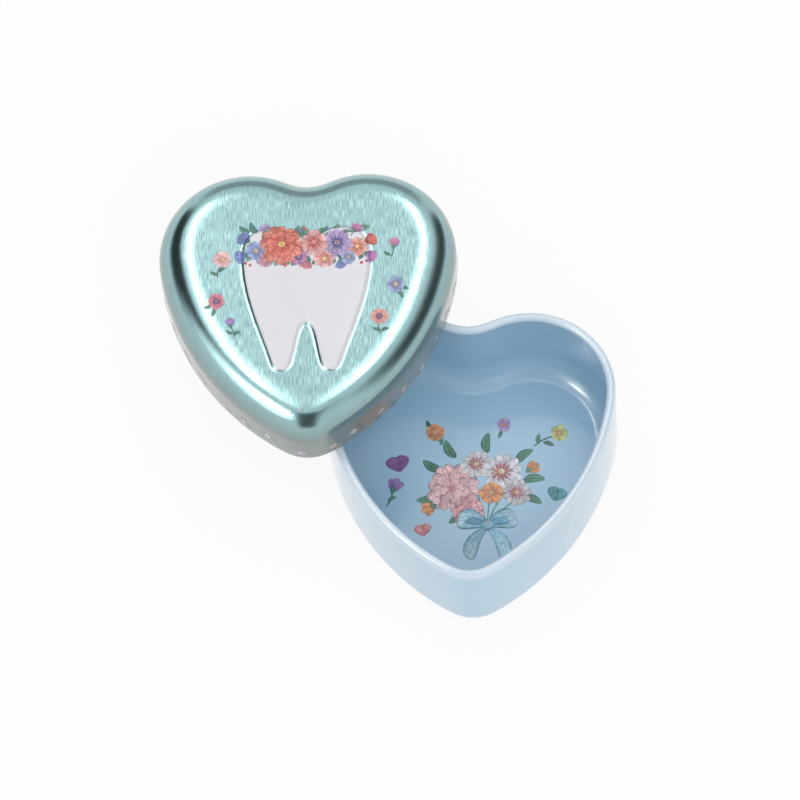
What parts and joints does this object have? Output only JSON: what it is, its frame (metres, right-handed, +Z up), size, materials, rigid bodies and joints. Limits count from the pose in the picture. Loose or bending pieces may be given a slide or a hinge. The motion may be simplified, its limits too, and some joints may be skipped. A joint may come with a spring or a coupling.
{
  "type": "heart-shaped tin",
  "caption": "Heart-shaped tinplate keepsake tin: a pale blue tray with a curled rim, and a teal slip lid with a broad rounded shoulder and a raised tooth.",
  "frame": {"origin": "middle of the tray's flat underside, halfway along its width and its length", "axes": "+Z up out of the tray, +Y from the heart's tip to its notch, +X to the right across the lobes"},
  "size_m": [0.101, 0.0948, 0.0418],
  "materials": {
    "pale_blue_lacquer": "glossy pale blue lacquer on tinplate",
    "teal_lacquer": "clear teal lacquer on brushed tinplate"
  },
  "bodies": {
    "tray": {"tray": "pale_blue_lacquer"},
    "lid": {"lid": "teal_lacquer"}
  },
  "joints": [
    {"name": "lid_lift", "type": "slide", "parent": "tray", "child": "lid", "axis": [0, 0, 1], "range_m": [0, 0.03]}
  ]
}
